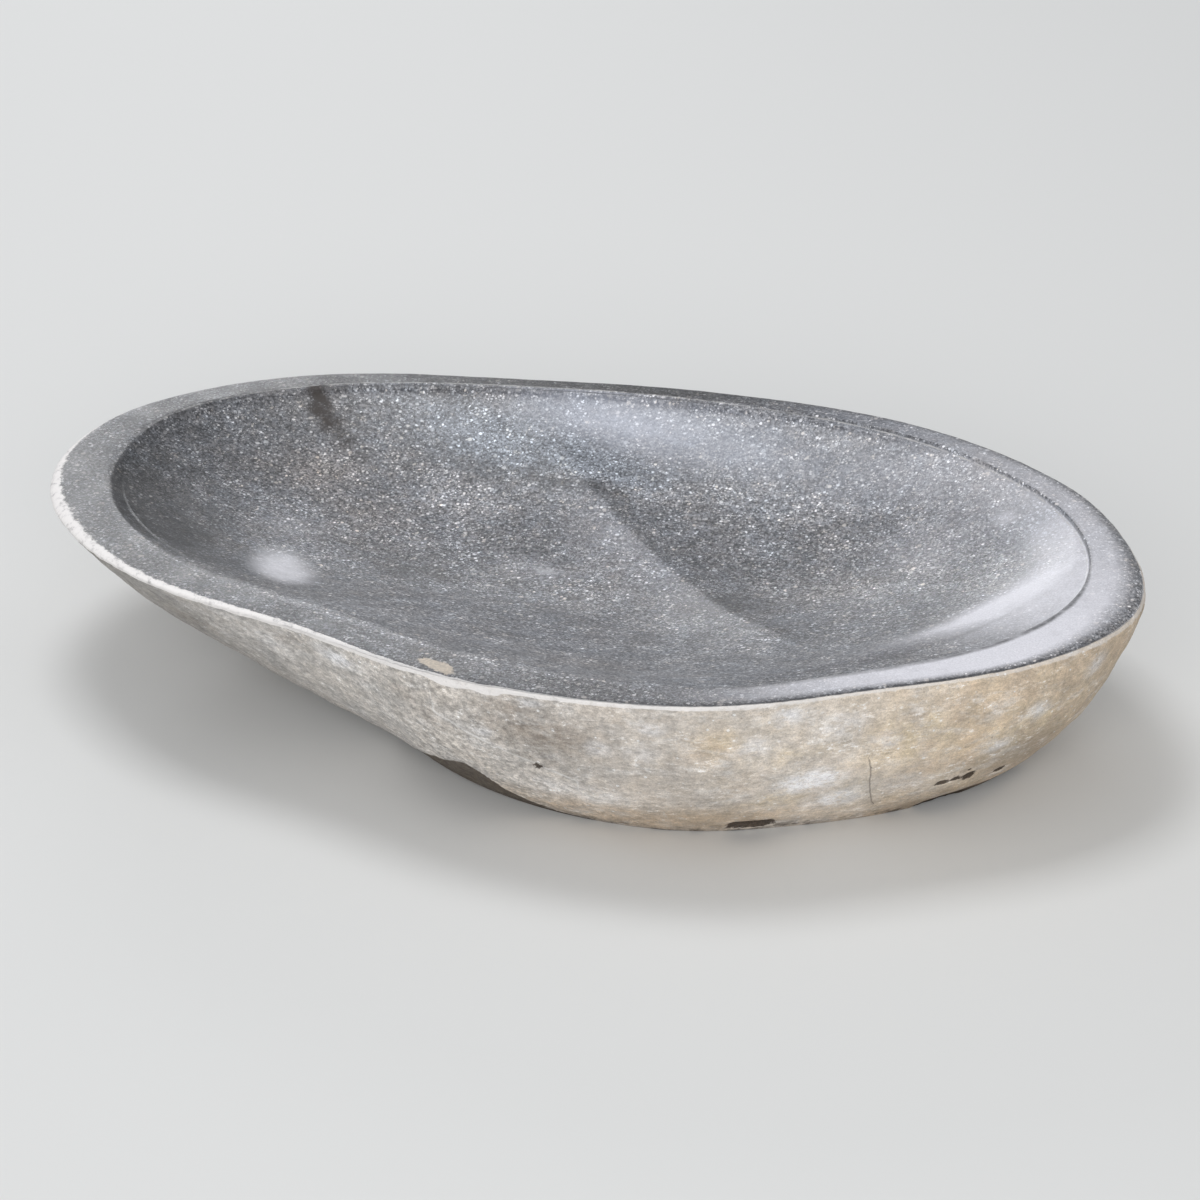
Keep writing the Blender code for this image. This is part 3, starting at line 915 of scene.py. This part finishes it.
# Pale specks. First the size of a cell in mm, the share of cells with a speck, the speck's radius
# in cells, and a seed. Then the random number from which the strength rises, and the least and
# the greatest strength
SPECKS = (
    ((0.95, 0.50, 0.70, 0.3), (0.0, 0.05, 0.62)),
    ((1.80, 0.34, 0.58, 1.7), (0.1, 0.25, 1.0)),
    ((3.3, 0.16, 0.46, 2.9), (0.0, 0.15, 0.70)))

# Clouds. First the noise's size in mm, detail, roughness, stretch and distortion. Then its low and
# its high end, and what the colour is multiplied by at each
FLAT = (0.6, 0.6, 1.5)
GROUND_CLOUDS = (
    ((60.0, 3.0), (0.30, 0.72, 0.95, 1.13)),
    ((16.0, 5.0, 0.65, None, 0.6), (0.32, 0.68, 0.84, 1.18)),
    ((3.6, 4.0, 0.75), (0.32, 0.68, 0.82, 1.18)),
    ((4.0, 4.0, 0.6, (0.25, 1.0, 1.0)), (0.30, 0.70, 0.90, 1.10)))
SKIN_CLOUDS = (
    ((30.0, 4.0, 0.6), (0.32, 0.68, 0.93, 1.06)),
    ((8.0, 6.0, 0.75), (0.30, 0.70, 0.80, 1.14)),
    ((2.6, 5.0, 0.80, FLAT), (0.30, 0.70, 0.82, 1.15)),
    ((0.8, 3.0, 0.80), (0.28, 0.72, 0.80, 1.15)))


def speckled(n):
    """Dark mottled stone with pale specks of three sizes."""
    warp = n.node("ShaderNodeTexNoise", Vector=n.place, Scale=420.0, Detail=1.0)
    shift = n.node("ShaderNodeVectorMath", {"operation": "MULTIPLY_ADD"})
    for socket, value in zip(shift.inputs, (warp.outputs["Color"], (0.0011,) * 3, n.place)):
        n.put(socket, value)
    speck = 0.0
    for look, (start, faint, strong) in SPECKS:
        grain, number = n.grains(shift.outputs[0], *look)
        grain = n.times(grain, n.ramp(number, start, 1.0, faint, strong))
        speck = n.maths("MAXIMUM", speck, grain)
    speck = n.times(speck, n.ramp(n.mottle(15.0, 4.0, 0.6), 0.30, 0.68, 0.62, 1.15))
    stone = n.mix(n.ramp(n.mottle(1.6, 4.0, 0.72), 0.36, 0.66), DARK_GROUND, MID_GROUND)
    return n.mix(speck, stone, n.mix(n.ramp(number, 0.70, 0.95), PALE_SPECK, WARM_SPECK))


def tinted(n, colour):
    """The honed stone warmer and cooler, lighter and darker from place to place, with painted
    shade over it.
    """
    hue = n.maths("ADD", n.wobble(34.0, 1.5), n.wobble(6.0, 1.8))
    hue = n.ramp(n.maths("ADD", hue, n.mask("hue")), -1.0, 1.0)
    colour = n.mix(1.0, colour, n.mix(hue, WARM_TINT, COOL_TINT), "MULTIPLY")
    colour = n.clouded(colour, GROUND_CLOUDS)
    # Painted shade darkens the honed stone
    painted_shade = n.times(n.mask("painted_shade"), n.ramp(n.mottle(7.0, 5.0, 0.7), 0.25, 0.7, 0.75, 1.05))
    return n.shade(colour, n.maths("MULTIPLY_ADD", painted_shade, -0.78, n.mask("lift")))


def with_painted_sheen(n, colour):
    """The honed stone with the painted sheen and the painted highlight over it."""
    cloud = n.wobble(11.0, 0.7, 6.0, 0.72)
    # The painted sheen: pale paint in place of reflections, bluish over the back of the bowl
    share = n.times(n.mask("painted_sheen"), n.maths("ADD", cloud, 0.98))
    painted_sheen = n.mix(n.mask("cold"), PALE_SHEEN, BLUE_SHEEN)
    painted_sheen = n.shade(painted_sheen, n.ramp(n.mottle(0.9, 3.0, 0.75), 0.28, 0.72, 0.86, 1.10))
    colour = n.mix(n.maths("MINIMUM", share, 0.87), colour, painted_sheen)
    # The painted highlight: a pale oval in place of a reflection
    painted_highlight = n.shade(HIGHLIGHT_COLOUR, n.ramp(n.mottle(1.2, 3.0, 0.7), 0.28, 0.72, 0.92, 1.04))
    return n.mix(n.times(n.mask("painted_highlight"), n.maths("ADD", cloud, 0.72)), colour, painted_highlight)


def lip_lines(n, colour):
    """The honed stone with the pale worn line, partly a painted highlight, and the painted shade
    line along the riser.
    """
    # The pale worn line: worn stone with a painted highlight
    line = n.line(n.mask("worn"), 0.35, 0.30, n.wobble(9.0, 1.0))
    gaps = n.ramp(n.mottle(9.0, 4.0, 0.7), 0.36, 0.62, 0.25, 1.2)
    colour = n.mix(n.times(line, n.mask("worn_highlight_line"), gaps), colour, WORN_AND_HIGHLIGHT)
    # Painted shade: a dark line along the riser
    line = n.line(n.mask("riser"), 0.60, 0.55, n.wobble(14.0, 0.7))
    gaps = n.ramp(n.mottle(10.0, 4.0, 0.7), 0.30, 0.60, 0.55, 1.0)
    return n.mix(n.times(line, n.mask("riser_shade"), gaps), colour, SHADE_LINE)


def ground_colour(n):
    """The honed stone of the rim and the bowl."""
    colour = lip_lines(n, with_painted_sheen(n, tinted(n, speckled(n))))
    stain = n.times(n.mask("stain"), n.ramp(n.mottle(4.0), 0.3, 0.6, 0.60, 0.95))
    return n.mix(stain, colour, STAIN)


def skin_base(n):
    """The skin's grey and beige with its warm, ochre, brown and bluish places."""
    colour = n.mix(n.ramp(n.mottle(24.0, 6.0, 0.70), 0.30, 0.70), SKIN_GREY, SKIN_BEIGE)
    warmth = n.times(n.mask("warmth"), n.ramp(n.mottle(20.0, 6.0, 0.72), 0.28, 0.68, 0.50, 1.25))
    colour = n.mix(1.0, colour, n.mix(warmth, (1.0, 1.0, 1.0), SKIN_WARMING), "MULTIPLY")
    ochre = n.times(n.mask("ochre"), n.ramp(n.mottle(14.0, 6.0, 0.72), 0.34, 0.66, 0.0, 0.9))
    colour = n.mix(ochre, colour, SKIN_OCHRE)
    brown = n.times(n.mask("brown"), n.ramp(n.mottle(8.0, 6.0, 0.75), 0.28, 0.64, 0.25, 0.95))
    colour = n.mix(brown, colour, SKIN_BROWN)
    bluish = n.ramp(n.mottle(6.0, 6.0, 0.75, (0.7, 0.7, 1.2)), 0.36, 0.58, 0.1, 0.90)
    return n.mix(n.times(n.mask("bluish"), bluish), colour, SKIN_BLUISH)


def whitened(n, colour):
    """The skin with whitish clouds, spots in clusters, and flecks."""
    cloud = n.ramp(n.mottle(11.0, 6.0, 0.72, FLAT), 0.50, 0.70, 0.0, 0.42)
    colour = n.mix(cloud, colour, SKIN_WHITE)
    cluster = n.ramp(n.mottle(17.0, 5.0, 0.7), 0.40, 0.68, -0.07, 0.05)
    spots = n.maths("ADD", n.mottle(2.6, 6.0, 0.78, FLAT), cluster)
    colour = n.mix(n.ramp(spots, 0.56, 0.68, 0.0, 0.72), colour, SKIN_WHITE)
    flecks, number = n.grains(n.place, 2.8, 0.16, 0.36, 3.1)
    return n.mix(n.times(flecks, n.ramp(number, 0.0, 1.0, 0.2, 0.9)), colour, SKIN_WHITE)


def grained(n, colour):
    """The skin lighter and darker in clouds and grains, and with brown dots."""
    colour = n.clouded(colour, SKIN_CLOUDS)
    coarse = n.ramp(n.mottle(3.4, 5.0, 0.75), 0.32, 0.68, -0.50, 0.50)
    colour = n.shade(colour, n.maths("ADD", n.times(coarse, n.mask("coarse")), 1.0))
    dots, number = n.grains(n.place, 2.6, 0.20, 0.26, 5.3)
    return n.mix(n.times(dots, n.ramp(number, 0.0, 1.0, 0.2, 0.75)), colour, SKIN_BROWN)


def skin_colour(n):
    """The worn skin outside, with the crack, the vein, painted shade towards the bottom and
    painted shadow on the broken lower edge.
    """
    colour = grained(n, whitened(n, skin_base(n)))
    crack = n.line(n.mask("crack"), 0.30, 0.22, n.wobble(6.0, 1.6))
    colour = n.mix(n.times(crack, 0.55), colour, DIRT_AND_SHADE)
    vein = n.line(n.mask("vein"), 1.4, 1.3, n.wobble(7.0, 2.6))
    vein = n.times(vein, n.ramp(n.mottle(6.0, 4.0, 0.7), 0.34, 0.62, 0.10, 0.60))
    colour = n.mix(vein, colour, SKIN_WHITE)
    # Painted shade: darker towards the bottom
    dirt_and_shade = n.times(n.mask("low"), n.ramp(n.mottle(9.0, 6.0, 0.7), 0.42, 0.62, 0.05, 0.85))
    colour = n.mix(dirt_and_shade, colour, DIRT_AND_SHADE)
    # Painted shadow of the underside on the broken lower edge
    broken = n.ramp(n.maths("ADD", n.mask("broken"), n.wobble(9.0, 7.0)), -0.8, 1.2, 0.0, 0.90)
    underside_shadow = n.shade(UNDERSIDE_SHADOW, n.ramp(n.mottle(2.5, 5.0, 0.8), 0.30, 0.70, 0.55, 1.6))
    return n.shade(n.mix(broken, colour, underside_shadow), n.mask("tone_and_shade"))


def bruised_share(n):
    """How much of each point is the pale bruised edge."""
    ragged = n.maths("ADD", n.wobble(4.5, 0.9), n.wobble(1.6, 0.5))
    bruised = n.ramp(n.maths("ADD", n.mask("pale"), ragged), 1.12, 0.84)
    gaps = n.ramp(n.mottle(5.0, 6.0, 0.75), 0.30, 0.52, 0.50, 1.0)
    return n.times(bruised, gaps, n.mask("pale_share"))


def marked(n, colour, bruised, chipped):
    """The stone with the tan patch, the bruised edge, the seam under the rim and the pits."""
    patch = n.ramp(n.maths("ADD", n.mask("island"), n.wobble(4.0, 1.6)), 0.36, 0.66, 0.0, 0.85)
    tan = n.shade(TAN, n.ramp(n.mottle(1.4, 4.0, 0.75), 0.28, 0.72, 0.75, 1.25))
    colour = n.mix(bruised, n.mix(patch, colour, tan), BRUISE)
    seam = n.line(n.maths("ADD", n.mask("outer"), -0.7), 0.65, 0.45, n.wobble(6.0, 0.8))
    gaps = n.ramp(n.mottle(5.0, 5.0, 0.7), 0.34, 0.60, 0.25, 0.95)
    colour = n.mix(n.times(seam, n.mask("seam"), gaps), colour, DARK_GROUND)
    # The pits' dark paint, low on the base's edge painted shadow of the underside
    dirt_and_shade = n.shade(DIRT_AND_SHADE, n.ramp(n.mottle(1.2, 4.0, 0.8), 0.30, 0.70, 0.3, 1.9))
    return n.mix(n.times(chipped, 0.92), colour, dirt_and_shade)


def add_gloss(n, rough, chipped):
    """Sets how rough the stone is and how much it shines."""
    roughness = n.node("ShaderNodeMix", {"data_type": "FLOAT"})
    n.put(roughness.inputs[0], rough)
    n.put(roughness.inputs[2], n.ramp(n.mottle(20.0, 3.0), 0.3, 0.7, 0.33, 0.42))
    n.put(roughness.inputs[3], n.ramp(n.mottle(1.5), 0.3, 0.7, 0.72, 0.90))
    n.put(n.shader.inputs["Roughness"], roughness.outputs[0])
    dull = n.maths("MAXIMUM", n.mask("stain"), chipped)
    dull = n.maths("MAXIMUM", dull, n.ramp(n.mask("broken"), -1.0, 1.0))
    shine = n.times(n.mask("sheen"), n.ramp(dull, 0.0, 1.0, 0.5, 0.12))
    n.put(n.shader.inputs["Specular IOR Level"], shine)


def add_bump(n, outside):
    """Sets the finest relief: grain and lumps, stronger on the skin, and the pits."""
    grain = n.times(n.mottle(1.0, 4.0, 0.7), n.ramp(outside, 0.0, 1.0, 0.06, 0.55))
    lumps = n.mottle(4.5, 4.0, 0.65, (0.6, 0.6, 1.3))
    lumps = n.times(lumps, n.ramp(outside, 0.0, 1.0, 0.05, 1.1))
    height = n.maths("ADD", n.maths("ADD", grain, lumps), n.times(n.mask("chipped"), -0.8))
    bump = n.node("ShaderNodeBump", Strength=1.0, Distance=1.0 * MM, Height=height)
    n.put(n.shader.inputs["Normal"], bump.outputs["Normal"])


def river_stone():
    n = Nodes("river_stone")
    outside = n.ramp(n.maths("ADD", n.mask("outer"), n.wobble(5.0, 1.6)), 0.4, -0.3)
    bruised = bruised_share(n)
    chipped = n.ramp(n.maths("ADD", n.mask("chipped"), n.wobble(2.2, 1.2)), 0.36, 0.62)
    colour = n.mix(outside, ground_colour(n), skin_colour(n))
    n.put(n.shader.inputs["Base Color"], marked(n, colour, bruised, chipped))
    add_gloss(n, n.maths("MAXIMUM", outside, bruised), chipped)
    add_bump(n, outside)
    return n.material


def build_stone():
    rows, deepest, marks = all_rows()
    attributes = masks(rows, marks)
    rows = inside_box(worn(rows, marks))
    mesh = stone_mesh("basin_stone", rows, deepest, attributes)
    stone = bpy.data.objects.new("basin_stone", mesh)
    bpy.context.scene.collection.objects.link(stone)
    mesh.materials.append(river_stone())
    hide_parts("basin")
    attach(stone, "root")
    return stone


# ---- stage ----

FLOOR = (0.75, 0.75, 0.74)
FLOOR_RADIUS = 6
FLOOR_SIDES = 96
SKY = (0.96, 0.98, 1.0)
SKY_STRENGTH = 0.46
SEEN_SKY = (0.90, 0.90, 0.90)

# Soft boxes: azimuth and elevation in degrees, distance and size in metres, brightness, colour
SOFT_BOXES = (
    ("key", 145, 71, 2.2, (0.85, 0.85), 7.5, (0.97, 0.98, 1.0)),
    ("back_left", 122, 18, 2.5, (0.8, 0.5), 6.0, (0.97, 0.98, 1.0)),
    ("front", -74, 22, 3.0, (2.2, 1.0), 6.4, (1.0, 1.0, 1.0)))

# The camera: the point that it and the soft boxes face, where it stands from there in degrees
# and metres, its lens in mm and its upward shift
CENTRE = Vector((0.0076, -0.0007, 0.0732))
CAMERA_AZIMUTH = -70
CAMERA_ELEVATION = 25
CAMERA_DISTANCE = 2.6
CAMERA_LENS = 163.37
CAMERA_SHIFT = -40 / 1200


def face_stone(item, azimuth, elevation, distance):
    """Puts a light or a camera where it faces the stone. Azimuth is anticlockwise from +X."""
    turn, rise = math.radians(azimuth), math.radians(elevation)
    level = math.cos(rise)
    towards = Vector((math.cos(turn) * level, math.sin(turn) * level, math.sin(rise)))
    item.location = CENTRE + towards * distance
    item.rotation_mode = "QUATERNION"
    item.rotation_quaternion = towards.to_track_quat("Z", "Y")
    bpy.context.scene.collection.objects.link(item)


def floor_plane():
    mesh = bpy.data.meshes.new("floor")
    turns = [math.tau * side / FLOOR_SIDES for side in range(FLOOR_SIDES)]
    points = [(FLOOR_RADIUS * math.cos(turn), FLOOR_RADIUS * math.sin(turn), 0) for turn in turns]
    mesh.from_pydata(points, [], [tuple(range(FLOOR_SIDES))])
    n = Nodes("floor")
    n.put(n.shader.inputs["Base Color"], (*FLOOR, 1.0))
    n.put(n.shader.inputs["Roughness"], 0.9)
    mesh.materials.append(n.material)
    floor = bpy.data.objects.new("floor", mesh)
    bpy.context.scene.collection.objects.link(floor)


def soft_box(name, azimuth, elevation, distance, size, brightness, colour):
    """A light that faces the stone. Its brightness is that of its face, where 1 is white."""
    data = bpy.data.lights.new(name, "AREA")
    data.shape = "RECTANGLE"
    data.size, data.size_y = size
    data.energy = brightness * math.pi * size[0] * size[1]
    data.color = colour
    light = bpy.data.objects.new(name, data)
    light.visible_camera = False
    face_stone(light, azimuth, elevation, distance)


def ambient():
    """An even sky. The camera sees it as pale as the floor."""
    world = bpy.data.worlds.new("sky")
    bpy.context.scene.world = world
    world.use_nodes = True
    tree = world.node_tree
    tree.nodes.clear()
    output = tree.nodes.new("ShaderNodeOutputWorld")
    sky, seen = (tree.nodes.new("ShaderNodeBackground") for _ in range(2))
    sky.inputs["Color"].default_value = (*SKY, 1.0)
    sky.inputs["Strength"].default_value = SKY_STRENGTH
    seen.inputs["Color"].default_value = (*SEEN_SKY, 1.0)
    choose = tree.nodes.new("ShaderNodeMixShader")
    path = tree.nodes.new("ShaderNodeLightPath")
    tree.links.new(path.outputs["Is Camera Ray"], choose.inputs["Fac"])
    tree.links.new(sky.outputs["Background"], choose.inputs[1])
    tree.links.new(seen.outputs["Background"], choose.inputs[2])
    tree.links.new(choose.outputs["Shader"], output.inputs["Surface"])


def camera():
    data = bpy.data.cameras.new("camera")
    data.sensor_width = 36.0
    data.lens = CAMERA_LENS
    data.shift_y = CAMERA_SHIFT
    data.clip_end = 50
    made = bpy.data.objects.new("camera", data)
    face_stone(made, CAMERA_AZIMUTH, CAMERA_ELEVATION, CAMERA_DISTANCE)
    bpy.context.scene.camera = made


def stage():
    floor_plane()
    ambient()
    for box in SOFT_BOXES:
        soft_box(*box)
    camera()
    bpy.context.scene.view_settings.view_transform = "Standard"


build_stone()
stage()
